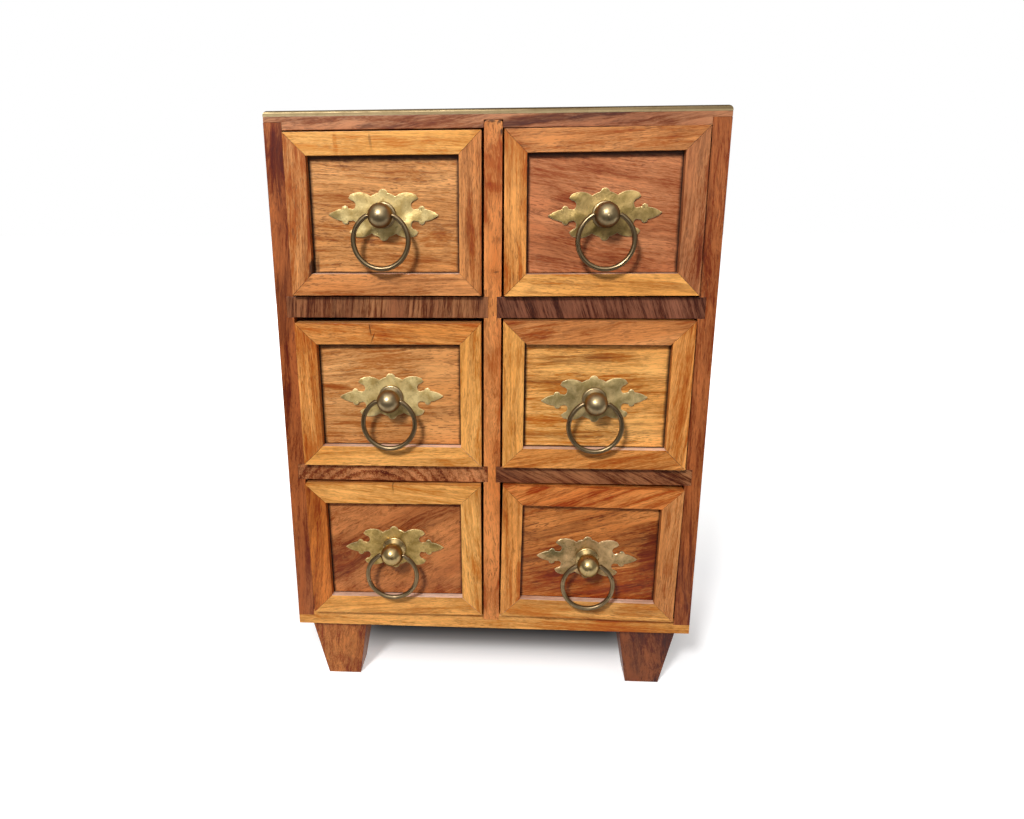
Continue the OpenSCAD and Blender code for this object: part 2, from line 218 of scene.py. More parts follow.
def addRecessShade(tree, recess):
    # recess is its middle, its half width and half height in metres, and its turn in degrees
    middle, halfWidth, halfHeight, turn = recess
    place = addNode(tree, "Mapping", {
        "Vector": addNode(tree, "TexCoord").outputs["Object"], "Location": middle,
        "Rotation": (0, -math.radians(turn), 0)}, vector_type="TEXTURE")
    recessShade = addNode(tree, "Group", node_tree=paintedRecessShade)
    recessShade.inputs["Half Width"].default_value = halfWidth
    recessShade.inputs["Half Height"].default_value = halfHeight
    tree.links.new(place.outputs[0], recessShade.inputs["Place"])
    return calc(tree, "MULTIPLY", recessShade.outputs[0], varnish["recessShade"])


# Each noise of the wood: its scale along and across the grain, detail, roughness, distortion and span
woodNoises = {
    "fibre": ((26, 620, 620), 5.0, 0.75, 0.0, (0.34, 0.66)),
    "streak": ((9, 190, 190), 4.0, 0.66, 0.0, (0.34, 0.66)),
    "cloud": ((24, 42, 42), 3.0, 0.55, 0.6, (0.32, 0.68)),
    "hue": ((12, 60, 60), 2.0, 0.5, 0.3, (0.35, 0.65)),
    "dash": ((210, 1300, 1300), 2.0, 0.6, 0.0, (0.55, 0.63)),
    "crowd": ((30, 90, 90), 2.0, 0.5, 0.0, (0.4, 0.62)),
    "fleck": ((300, 2400, 2400), 2.0, 0.6, 0.0, (0.35, 0.65)),
    "vein": ((6, 85, 85), 4.0, 0.62, 0.3, (0.54, 0.64)),
}
woodTones = {
    "bends": (((9, 26, 26), 1.0), ((40, 100, 100), 0.3)),  # scale and share of the grain's wandering
    "bendDetail": 2.0,
    "ringRuffle": 0.5,  # how far the fibres ruffle the rings
    "ringRise": 1.8,
    "ringMiddle": 0.22,
    "faintest": 0.25,  # the least share of a ring, and of the pores where they are few
    "faintVein": 0.4,
    "fibreGain": 1.7,
    "grainGain": 1.3,  # of the streaks, clouds and rings
    "fleckGain": 0.45,
    "darkest": 3.0,
    "palest": (0.4, 1.5),  # the stain below which wood is lifted no further, and by how much
    "cutAndShadeColour": "24130b",
    "roughness": (0.36, 0.08, 0.15),  # everywhere, in the flecks and in the pores
    "height": (0.5, 0.5),  # of the fibres, and depth of the pores
}


def woodGroup():
    # Place has the grain along x, and the heart of the tree along the x axis. More stain is a higher
    # power of the base colour, so that darker grain is also redder.
    tree, given, out = newGroup("woodGrain", [
        ("Place", "Vector", None), ("Base", "Color", None), ("Tint", "Color", None), ("Vein", "Color", None),
        ("Ring Gap", "Float", 0.003), ("Bend", "Float", 0.006), ("Rings", "Float", 0.5),
        ("Streaks", "Float", 0.5), ("Fibres", "Float", 0.5), ("Veins", "Float", 0.5),
        ("Pores", "Float", 0.5), ("Clouds", "Float", 0.5), ("Stain", "Float", 0.0), ("Cuts And Shade", "Float", 0.0),
    ], [("Colour", "Color"), ("Roughness", "Float"), ("Height", "Float")])
    place = given["Place"]

    bent = place
    for scale, share in woodTones["bends"]:
        wander = stretchedNoise(tree, place, scale, woodTones["bendDetail"]).outputs["Color"]
        wander = addNode(tree, "VectorMath", {0: wander, 1: (0.5, 0.5, 0.5)},
                         operation="SUBTRACT").outputs[0]
        amount = calc(tree, "MULTIPLY", given["Bend"], share)
        wander = addNode(tree, "VectorMath", {0: wander, 3: amount}, operation="SCALE").outputs[0]
        bent = addNode(tree, "VectorMath", {0: bent, 1: wander}, operation="ADD").outputs[0]

    noise = {name: spanNoise(tree, place if name == "cloud" else bent, values)
             for name, values in woodNoises.items()}
    fibre, fleck = noise["fibre"], noise["fleck"]
    crowding = spread(tree, noise["crowd"], 0.0, 1.0, woodTones["faintest"], 1.0)
    dash = calc(tree, "MULTIPLY", noise["dash"], crowding)
    vein = calc(tree, "MULTIPLY", noise["vein"], spread(tree, fibre, 0.0, 1.0, woodTones["faintVein"], 1.0))

    split = addNode(tree, "SeparateXYZ", {0: bent}).outputs
    radius = calc(tree, "SQRT", calc(tree, "ADD", calc(tree, "MULTIPLY", split["Y"], split["Y"]),
                                     calc(tree, "MULTIPLY", split["Z"], split["Z"])))
    phase = calc(tree, "ADD", calc(tree, "DIVIDE", radius, given["Ring Gap"]),
                 calc(tree, "MULTIPLY", fibre, woodTones["ringRuffle"]))
    ringTone = addNode(tree, "TexWhiteNoise", {"W": calc(tree, "FLOOR", phase)},
                       noise_dimensions="1D").outputs["Value"]
    ring = calc(tree, "MULTIPLY", calc(tree, "POWER", calc(tree, "FRACT", phase), woodTones["ringRise"]),
                spread(tree, ringTone, 0.0, 1.0, woodTones["faintest"], 1.0))

    stain = calc(tree, "ADD", given["Stain"], 1.0)
    for value, centre, amount, gain in ((fibre, 0.5, "Fibres", "fibreGain"),
                                        (noise["streak"], 0.5, "Streaks", "grainGain"),
                                        (noise["cloud"], 0.5, "Clouds", "grainGain"),
                                        (ring, woodTones["ringMiddle"], "Rings", "grainGain")):
        lean = calc(tree, "MULTIPLY", calc(tree, "SUBTRACT", value, centre), given[amount])
        stain = calc(tree, "ADD", stain, calc(tree, "MULTIPLY", lean, woodTones[gain]))
    lean = calc(tree, "SUBTRACT", fleck, 0.5)
    stain = calc(tree, "ADD", stain, calc(tree, "MULTIPLY", lean, woodTones["fleckGain"]))
    power = spread(tree, stain, 1.0, woodTones["darkest"], 1.0, woodTones["darkest"])
    palest, lifted = woodTones["palest"]
    lift = spread(tree, stain, palest, 1.0, lifted, 1.0)

    tinted = blendColour(tree, noise["hue"], given["Base"], given["Tint"])
    parts = addNode(tree, "SeparateColor", {"Color": tinted}).outputs
    toned = {}
    for part in ("Red", "Green", "Blue"):
        toned[part] = calc(tree, "MULTIPLY", calc(tree, "POWER", parts[part], power), lift)
    mixed = addNode(tree, "CombineColor", toned).outputs[0]
    mixed = blendColour(tree, calc(tree, "MULTIPLY", vein, given["Veins"]), mixed, given["Vein"])
    mixed = blendColour(tree, calc(tree, "MULTIPLY", dash, given["Pores"]), mixed, given["Vein"])
    # Cuts, and the painted shade along a recess's edges, darken the wood towards one colour
    mixed = blendColour(tree, given["Cuts And Shade"], mixed, colour(woodTones["cutAndShadeColour"]))
    plainRough, fleckRough, poreRough = woodTones["roughness"]
    rough = calc(tree, "ADD", calc(tree, "MULTIPLY", fleck, fleckRough),
                 calc(tree, "MULTIPLY", dash, poreRough))
    fibreHeight, poreDepth = woodTones["height"]
    height = calc(tree, "SUBTRACT", calc(tree, "MULTIPLY", fibre, fibreHeight),
                  calc(tree, "MULTIPLY", dash, poreDepth))
    tree.links.new(mixed, out["Colour"])
    tree.links.new(calc(tree, "ADD", rough, plainRough), out["Roughness"])
    tree.links.new(height, out["Height"])
    return tree


woodGrain = woodGroup()

# Base, tint and vein colours, then how strongly rings, streaks, fibres, veins, pores and clouds show
woodFinishes = {
    "honey": (("e2a55a", "d89648", "86501f"), (0.3, 0.5, 0.45, 0.3, 0.4, 0.4)),
    "golden": (("dd9f56", "d18e44", "7c441a"), (0.35, 0.55, 0.5, 0.35, 0.45, 0.45)),
    "orange": (("d38e4a", "c37b38", "6c3412"), (0.4, 0.55, 0.55, 0.4, 0.5, 0.45)),
    "tan": (("c8864e", "b6723c", "62341a"), (0.4, 0.55, 0.55, 0.4, 0.5, 0.5)),
    "amber": (("b8682a", "a4581e", "5a280e"), (0.4, 0.5, 0.5, 0.4, 0.45, 0.4)),
    "brown": (("b07246", "9e5f3a", "54301c"), (0.45, 0.55, 0.55, 0.5, 0.45, 0.45)),
    "flamed": (("cc8040", "b8642a", "521a0a"), (0.6, 0.9, 0.6, 1.0, 0.45, 0.4)),
    "honeyPanel": (("cc9258", "b87c44", "6a3616"), (0.3, 0.42, 0.6, 0.45, 0.65, 0.4)),
    "clayPanel": (("b8764c", "a6623a", "5c2814"), (0.25, 0.36, 0.5, 0.3, 0.55, 0.4)),
    "goldPanel": (("dca25a", "c88a44", "70401c"), (0.35, 0.75, 0.7, 0.75, 0.55, 0.3)),
    "burlPanel": (("b4713f", "9c5a2e", "502410"), (0.4, 0.25, 0.35, 0.3, 0.6, 0.9)),
    "boldPanel": (("c47e42", "aa642e", "42180c"), (0.35, 0.5, 0.6, 0.6, 0.7, 0.5)),
    "redSide": (("a05a2e", "8c4820", "4e1c0c"), (0.6, 0.65, 0.55, 0.7, 0.5, 0.4)),
    "post": (("cc864a", "b86c34", "623016"), (0.35, 0.4, 0.4, 0.35, 0.65, 0.8)),
    "rail": (("92603c", "7a482c", "2c140c"), (0.5, 0.4, 0.9, 0.45, 0.3, 0.4)),
    "darkRail": (("7c4c36", "683c28", "28120c"), (0.4, 0.45, 0.8, 0.5, 0.3, 0.4)),
    "railEnd": (("b07448", "965c36", "34180e"), (1.3, 0.35, 0.5, 0.2, 0.3, 0.5)),
    "topEdge": (("a8724e", "905a3c", "42201a"), (0.5, 0.75, 0.55, 0.85, 0.4, 0.6)),
    "foot": (("b87038", "a25a28", "562810"), (0.6, 0.5, 0.5, 0.4, 0.4, 0.45)),
    "darkFoot": (("8a4b28", "743c1e", "38180e"), (0.6, 0.5, 0.5, 0.5, 0.4, 0.6)),
    # the pale wood of the bottom strips' ledges, a painted sheen
    "sheenLedge": (("e6c6b0", "d8ac90", "8a5236"), (0.2, 0.4, 0.4, 0.3, 0.4, 0.6)),
    "plain": (("d3b083", "c39c6c", "8b6239"), (0.3, 0.35, 0.35, 0.15, 0.35, 0.3)),
}
varnish = {"coat": 0.12, "coatRoughness": 0.22, "specular": 0.2, "bump": 0.25, "bumpDepth": 0.0003,
           "recessShade": 0.92, "lengths": (0.3, 2.0)}  # lengths: metres along its tree where a board may lie


def woodMaterial(name, finish, box, grain=0.0, bend=0.006, ringGap=0.0028, heart=(0.05, 0.01), seed=0,
                 stain=0.0, marks=(), cuts=(), recess=None):
    # grain is the angle of the grain above +X, seen from the front; None runs it from front to back.
    # heart is how far the heart of the tree lies from the board's middle, across the grain, in metres.
    # marks make the wood darker or paler, and cuts are nearly black. recess is what addRecessShade takes,
    # for painted shade along its inner edges.
    colours, strengths = woodFinishes[finish]
    turn = Euler((0, 0, math.radians(-90))) if grain is None else Euler((0, math.radians(grain), 0))
    middle = (box[0] + box[1]) / 2
    along = random.Random(seed).uniform(*varnish["lengths"])
    offset = Vector((along, heart[0], heart[1])) - turn.to_matrix() @ middle

    material, tree = newMaterial(name)
    mapping = addNode(tree, "Mapping", {"Vector": addNode(tree, "TexCoord").outputs["Object"],
                                        "Location": offset, "Rotation": turn})
    grainNode = addNode(tree, "Group", node_tree=woodGrain)
    values = {"Ring Gap": ringGap, "Bend": bend, "Stain": stain}
    values.update(zip(("Rings", "Streaks", "Fibres", "Veins", "Pores", "Clouds"), strengths))
    for label, code in zip(("Base", "Tint", "Vein"), colours):
        values[label] = colour(code)
    for label, value in values.items():
        grainNode.inputs[label].default_value = value
    tree.links.new(mapping.outputs[0], grainNode.inputs["Place"])
    if marks:
        tree.links.new(calc(tree, "ADD", addMarks(tree, marks), stain), grainNode.inputs["Stain"])
    dark = [addMarks(tree, cuts)] if cuts else []
    if recess:
        dark.append(addRecessShade(tree, recess))
    if dark:
        tree.links.new(calc(tree, "MAXIMUM", dark[0], dark[-1]), grainNode.inputs["Cuts And Shade"])
    bump = addNode(tree, "Bump", {"Strength": varnish["bump"], "Distance": varnish["bumpDepth"],
                                  "Height": grainNode.outputs["Height"]})
    shader = addNode(tree, "BsdfPrincipled", {
        "Base Color": grainNode.outputs["Colour"], "Roughness": grainNode.outputs["Roughness"],
        "Normal": bump.outputs[0], "Specular IOR Level": varnish["specular"],
        "Coat Weight": 0.0 if finish == "plain" else varnish["coat"],
        "Coat Roughness": varnish["coatRoughness"]})
    tree.links.new(shader.outputs[0], addNode(tree, "OutputMaterial").inputs[0])
    return material


# Each noise of the brass: its scale, detail, roughness, distortion and span
brassNoises = {
    "cloud": ((150, 150, 150), 4.0, 0.6, 0.4, (0.35, 0.65)),
    "grit": ((1500, 1500, 1500), 3.0, 0.6, 0.0, (0.3, 0.7)),
    "spots": ((420, 420, 420), 3.0, 0.65, 0.5, (0.56, 0.68)),
}
brassTones = {
    "dents": ((75, 75, 75), 1.0, 0.5),  # scale, detail and roughness of the hammered dents
    "under": (0.1, -0.75),  # the normal's z at which painted shade on an underside starts and is full
    "rimLightStart": (-0.97, -0.75),  # the normal's y over which the rims get a painted highlight, and fade again
    "rimLightEnd": (-0.1, -0.4),
    "rimHighlightColour": "f4e6b8",
    "rimHighlights": 0.9,
    "grit": 0.12,
    "cloudRough": 0.1,
    "spotRough": 0.12,
    "gritHeight": 0.06,
    "cloudHeight": 0.1,
    "bump": (0.8, 0.03),  # on dented brass, and on turned and drawn brass
    "bumpDepth": 0.0008,
    "tint": "b8a888",  # of the reflections
    "drift": (1, 0.7, 0.3),  # the way in which the pattern moves on from pull to pull
}


def brassGroup():
    # Clean metal with duller clouds, dark patina in spots and in patches (the strip's patches are painted
    # shade), and painted shade on what faces down
    tree, given, out = newGroup("agedBrass", [
        ("Place", "Vector", None), ("Bright", "Color", None), ("Dull", "Color", None),
        ("Patina And Shade", "Color", None), ("Clouds", "Float", 0.5), ("Spots", "Float", 0.3),
        ("Shaded Undersides", "Float", 0.4), ("Polish", "Float", 0.3), ("Patches", "Float", 0.0),
        ("Dents", "Float", 0.0), ("Rim Highlights", "Float", 0.0),
    ], [("Colour", "Color"), ("Roughness", "Float"), ("Height", "Float")])
    place = given["Place"]
    cloud, grit, spots = [spanNoise(tree, place, values) for values in brassNoises.values()]
    dents = stretchedNoise(tree, place, *brassTones["dents"]).outputs["Fac"]
    normal = addNode(tree, "SeparateXYZ", {0: addNode(tree, "NewGeometry").outputs["Normal"]}).outputs
    under = spread(tree, normal["Z"], *brassTones["under"])
    # A painted highlight on the plate's rims, where their normals turn away from the front
    rim = calc(tree, "MULTIPLY", spread(tree, normal["Y"], *brassTones["rimLightStart"]),
               spread(tree, normal["Y"], *brassTones["rimLightEnd"]))

    mixed = blendColour(tree, calc(tree, "MULTIPLY", cloud, given["Clouds"]), given["Bright"], given["Dull"])
    for share, amount in ((spots, given["Spots"]), (under, given["Shaded Undersides"]), (grit, brassTones["grit"])):
        mixed = blendColour(tree, calc(tree, "MULTIPLY", share, amount), mixed, given["Patina And Shade"])
    mixed = blendColour(tree, given["Patches"], mixed, given["Patina And Shade"])
    rim = calc(tree, "MULTIPLY", rim, given["Rim Highlights"])
    mixed = blendColour(tree, rim, mixed, colour(brassTones["rimHighlightColour"]))
    rough = calc(tree, "ADD", given["Polish"], calc(tree, "MULTIPLY", cloud, brassTones["cloudRough"]))
    rough = calc(tree, "ADD", rough, calc(tree, "MULTIPLY", spots, brassTones["spotRough"]))
    height = calc(tree, "ADD", calc(tree, "MULTIPLY", grit, brassTones["gritHeight"]),
                  calc(tree, "MULTIPLY", cloud, brassTones["cloudHeight"]))
    height = calc(tree, "ADD", height, calc(tree, "MULTIPLY", dents, given["Dents"]))
    tree.links.new(mixed, out["Colour"])
    tree.links.new(rough, out["Roughness"])
    tree.links.new(height, out["Height"])
    return tree


agedBrass = brassGroup()

# Bright, dull, and patina and painted shade colours; then the strength of clouds, spots and painted shade on
# undersides, the roughness, how metallic it is, and the strength of its dents
brassFinishes = {
    "strip": (("b8a47c", "96825a", "4e3c26"), (0.4, 0.15, 0.2, 0.4, 0.6, 0.0)),
    "palePlate": (("f6dc9a", "bc9e60", "6f5c32"), (1.0, 0.4, 0.7, 0.34, 0.32, 3.6)),
    "olivePlate": (("ceae70", "88723f", "55452a"), (1.0, 0.4, 0.7, 0.36, 0.55, 3.6)),
    "greyPlate": (("e0c48a", "988452", "574a30"), (1.0, 0.3, 0.7, 0.36, 0.42, 3.6)),
    "goldPlate": (("ecc97e", "a08244", "4c3c24"), (1.0, 0.4, 0.7, 0.32, 0.6, 4.2)),
    "pinkPlate": (("e6be88", "a48456", "434a2e"), (1.0, 0.5, 0.7, 0.34, 0.6, 4.2)),
    "knob": (("aa9672", "867656", "3a2e20"), (0.5, 0.15, 0.5, 0.32, 1.0, 0.0)),
    "brightKnob": (("b8a070", "947c50", "50402a"), (0.4, 0.15, 0.3, 0.24, 1.0, 0.0)),
    "ring": (("8e7a5c", "5e5038", "2c2218"), (0.5, 0.1, 0.5, 0.26, 1.0, 0.0)),
    "steel": (("b4b4b2", "8e8e8c", "55504a"), (0.5, 0.3, 0.2, 0.3, 1.0, 0.0)),
}


def brassMaterial(name, finish, shift=0.0, patches=()):
    # shift moves the pattern on, so that no two pulls are alike
    colours, (clouds, spots, under, polish, metal, dents) = brassFinishes[finish]
    material, tree = newMaterial(name)
    mapping = addNode(tree, "Mapping", {"Vector": addNode(tree, "TexCoord").outputs["Object"],
                                        "Location": [shift * part for part in brassTones["drift"]]})
    aged = addNode(tree, "Group", node_tree=agedBrass)
    values = {"Clouds": clouds, "Spots": spots, "Shaded Undersides": under, "Polish": polish, "Dents": dents,
              "Rim Highlights": brassTones["rimHighlights"] if dents else 0.0}
    for label, code in zip(("Bright", "Dull", "Patina And Shade"), colours):
        values[label] = colour(code)
    for label, value in values.items():
        aged.inputs[label].default_value = value
    tree.links.new(mapping.outputs[0], aged.inputs["Place"])
    if patches:
        tree.links.new(addMarks(tree, patches), aged.inputs["Patches"])
    dented, smooth = brassTones["bump"]
    bump = addNode(tree, "Bump", {"Strength": dented if dents else smooth,
                                  "Distance": brassTones["bumpDepth"], "Height": aged.outputs["Height"]})
    shader = addNode(tree, "BsdfPrincipled", {
        "Base Color": aged.outputs["Colour"], "Roughness": aged.outputs["Roughness"],
        "Normal": bump.outputs[0], "Metallic": metal, "Specular Tint": colour(brassTones["tint"])})
    tree.links.new(shader.outputs[0], addNode(tree, "OutputMaterial").inputs[0])
    return material


meshCare = {
    "weld": 0.002 * mm,  # what counts as one point
    "flat": math.radians(0.5),  # and as one flat face
    "mitre": 0.3,  # the least share of x and of z in a mitre's normal
}


def cadCopy(node, whole=True):
    # The node's mesh with its loose triangles joined up, and into whole faces unless whole is False
    mesh = bmesh.new()
    mesh.from_mesh(nodes[node].data)
    bmesh.ops.remove_doubles(mesh, verts=mesh.verts, dist=meshCare["weld"])
    if whole:
        bmesh.ops.dissolve_limit(mesh, angle_limit=meshCare["flat"], verts=mesh.verts, edges=mesh.edges)
    return mesh


def isMitre(face):
    return abs(face.normal.x) > meshCare["mitre"] and abs(face.normal.z) > meshCare["mitre"]


def easeEdges(mesh, width, segments=2, sharpAngle=30, mitred=False):
    # Rounds the outer arrises, and leaves the inner corners and the mitres as they are
    edges = [e for e in mesh.edges if len(e.link_faces) == 2 and e.is_convex
             and e.calc_face_angle(0) > math.radians(sharpAngle)
             and not (mitred and any(isMitre(face) for face in e.link_faces))]
    bmesh.ops.bevel(mesh, geom=edges, offset=width, offset_type="OFFSET", segments=segments,
                    profile=0.5, affect="EDGES", material=-1, clamp_overlap=True)


def islands(mesh):
    # The separate solids of a mesh, each as a list of its faces
    left, found = set(mesh.faces), []
    while left:
        stack, group = [left.pop()], []
        while stack:
            face = stack.pop()
            group.append(face)
            for edge in face.edges:
                for other in edge.link_faces:
                    if other in left:
                        left.discard(other)
                        stack.append(other)
        found.append(group)
    return found


def boxOf(faces):
    points = [v.co for f in faces for v in f.verts]
    return (Vector(min(p[i] for p in points) for i in range(3)),
            Vector(max(p[i] for p in points) for i in range(3)))


def makePiece(name, mesh, materials, body, slot, *replaced, smoothAngle=40, flats=True):
    # flats is for a piece whose flat faces are to stay flat between their rounded arrises
    for edge in mesh.edges:
        edge.smooth = len(edge.link_faces) == 2 and edge.calc_face_angle(0) < math.radians(smoothAngle)
    for face in mesh.faces:
        face.smooth = True
    data = bpy.data.meshes.new(name)
    mesh.to_mesh(data)
    mesh.free()
    for material in materials:
        data.materials.append(material)
    piece = bpy.data.objects.new(name, data)
    bpy.context.scene.collection.objects.link(piece)
    if flats:
        weighted = piece.modifiers.new("even shading", "WEIGHTED_NORMAL")
        weighted.keep_sharp = True
    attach(piece, body)
    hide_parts(*replaced)


carcass = {
    "edge": 0.35,  # mm of rounding on the boards' arrises
    "footEdge": 0.8,
    "boards": {
        "left_side": {"finish": "redSide", "grain": 87, "heart": (0.012, 0.02), "bend": 0.014,
                      "slot": "side_wood", "stain": -0.1,
                      "marks": [(-119, 332, 9, 22, 8, 0.7), (-121, 84, 3, 34, -4, -0.35),
                                (-116, 262, 2.5, 30, 6, -0.3)]},
        "right_side": {"finish": "redSide", "grain": 92, "heart": (0.015, -0.015), "bend": 0.012,
                       "slot": "side_wood",
                       "marks": [(119, 150, 3, 60, 0, -0.2), (120, 290, 6, 70, 0, 0.22)]},
        "top_board": {"finish": "topEdge", "grain": 7, "heart": (0.03, 0.02), "bend": 0.014,
                      "slot": "rail_wood", "marks": [(-60, 350, 62, 5, 0, 0.2)]},
        "bottom_board": {"finish": "golden", "grain": -2, "heart": (0.06, 0.02), "slot": "moulding_wood",
                         "marks": [(-65, 47, 55, 8, 0, -0.25), (75, 47, 46, 8, 0, 0.35)]},
        "centre_divider": {"finish": "post", "grain": 91, "heart": (0.03, 0.01), "bend": 0.02,
                           "slot": "side_wood", "stain": -0.12,
                           "marks": [(0, 316, 6, 3, -14, 0.5), (-3.5, 298, 2.5, 7, 12, 0.45),
                                     (2, 287, 4, 3, 30, 0.4), (1, 268, 5, 6, -20, 0.35)],
                           "cuts": [(-1, 349.4, 3, 0.8, 0, 0.8), (3, 349, 1.5, 0.8, 30, 0.7),
                                    (4.4, 344, 0.8, 2, 0, 0.9), (2, 270, 2, 0.6, 10, 0.6)]},
        "back_panel": {"finish": "plain", "grain": 90, "heart": (0.1, 0.0), "slot": "plain_wood"},
    },
    # finish, angle of the grain (None: end grain, as arcs round the heart), bend, ring gap and heart
    "shelves": {
        "upper_shelves": [("rail", 84, 0.004, 0.0017, (0.03, 0.02)),
                          ("darkRail", 109, 0.004, 0.002, (0.03, 0.02))],
        "lower_shelves": [("railEnd", None, 0.002, 0.005, (-0.012, 0.032)),
                          ("rail", 152, 0.01, 0.003, (0.03, 0.02))],
    },
    "feet": {"left": "foot", "right": "darkFoot"},
    "footGrain": (84, 96),  # degrees, on the left and on the right
    "footWood": {"bend": 0.014, "ringGap": 0.0035, "heart": (0.02, 0.006)},
    "stripShade": [(0, 357.7, 400, 4.3, 0, 1.0)],  # the painted shade of the brass strip's darker upper band
}


# Where each kind of board starts to count its seeds
seeds = {"shelves": 20, "feet": 30, "panels": 50, "strips": 100, "trays": 200, "bottoms": 300}


def addBoards():
    for number, (node, look) in enumerate(carcass["boards"].items()):
        mesh = cadCopy(node)
        easeEdges(mesh, carcass["edge"] * mm)
        wood = woodMaterial(node + "_wood", look["finish"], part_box(node), look["grain"],
                            bend=look.get("bend", 0.006), heart=look["heart"], seed=number,
                            stain=look.get("stain", 0.0), marks=look.get("marks", ()),
                            cuts=look.get("cuts", ()))
        makePiece(node + "_board", mesh, [wood], "carcass", look["slot"], node)


def addShelves():
    for node, looks in carcass["shelves"].items():
        mesh = cadCopy(node)
        easeEdges(mesh, carcass["edge"] * mm)
        groups = sorted(islands(mesh), key=lambda g: boxOf(g)[0].x)
        woods = []
        for i, (group, look) in enumerate(zip(groups, looks)):
            for face in group:
                face.material_index = i
            finish, grain, bend, ringGap, heart = look
            woods.append(woodMaterial(f"{node}_wood_{i + 1}", finish, boxOf(group), grain,
                                      bend=bend, ringGap=ringGap, heart=heart, seed=seeds["shelves"] + i))
        makePiece(node + "_boards", mesh, woods, "carcass", "rail_wood", node)


def addFeet():
    mesh = cadCopy("feet")
    easeEdges(mesh, carcass["footEdge"] * mm, segments=3)
    woods = []
    for i, group in enumerate(sorted(islands(mesh), key=lambda g: (boxOf(g)[0].y > 0, boxOf(g)[0].x))):
        side = columns[i % 2]
        for face in group:
            face.material_index = i
        grain = carcass["footGrain"][i % 2]
        woods.append(woodMaterial(f"foot_wood_{i + 1}", carcass["feet"][side], boxOf(group), grain,
                                  seed=seeds["feet"] + i, **carcass["footWood"]))
    makePiece("tapered_feet", mesh, woods, "carcass", "side_wood", "feet")


def addStrip():
    mesh = cadCopy("brass_strip")
    # Its patches are the painted shade of its upper band
    brass = brassMaterial("strip_brass", "strip", patches=carcass["stripShade"])
    makePiece("top_edge_strip", mesh, [brass], "carcass", "strip_brass", "brass_strip")


addBoards()
addShelves()
addFeet()
addStrip()
steel = brassMaterial("screw_steel", "steel")
for node in ("foot_screws", "back_screws"):
    nodes[node].data.materials.clear()
    nodes[node].data.materials.append(steel)
print("carcass done")


